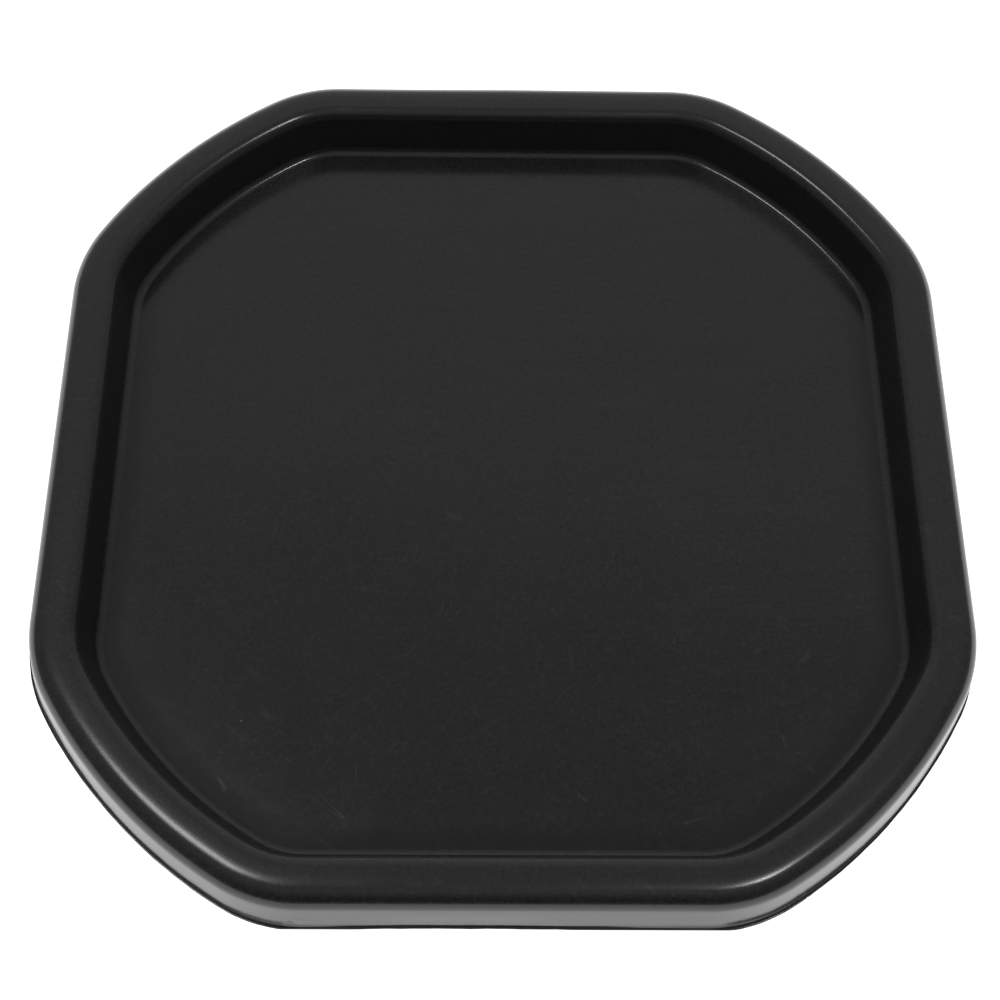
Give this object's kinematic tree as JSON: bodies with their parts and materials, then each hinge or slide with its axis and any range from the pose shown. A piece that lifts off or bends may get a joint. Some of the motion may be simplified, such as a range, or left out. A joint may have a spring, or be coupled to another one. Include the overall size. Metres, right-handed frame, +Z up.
{
  "type": "mixing tray",
  "caption": "Low octagonal tray formed from one black plastic sheet, with a wide flat basin, sloping wall, broad hollow rolled rim, skirt and thin trimmed lip.",
  "frame": {"origin": "centre of the base, at the level the tray stands on", "axes": "+Z up out of the basin; X and Y square to the straight sides"},
  "size_m": [0.92, 0.92, 0.059],
  "materials": {
    "black_plastic": "satin black, finely grained, lightly scuffed"
  },
  "bodies": {
    "root": {"tray_shell": "black_plastic"}
  },
  "joints": []
}
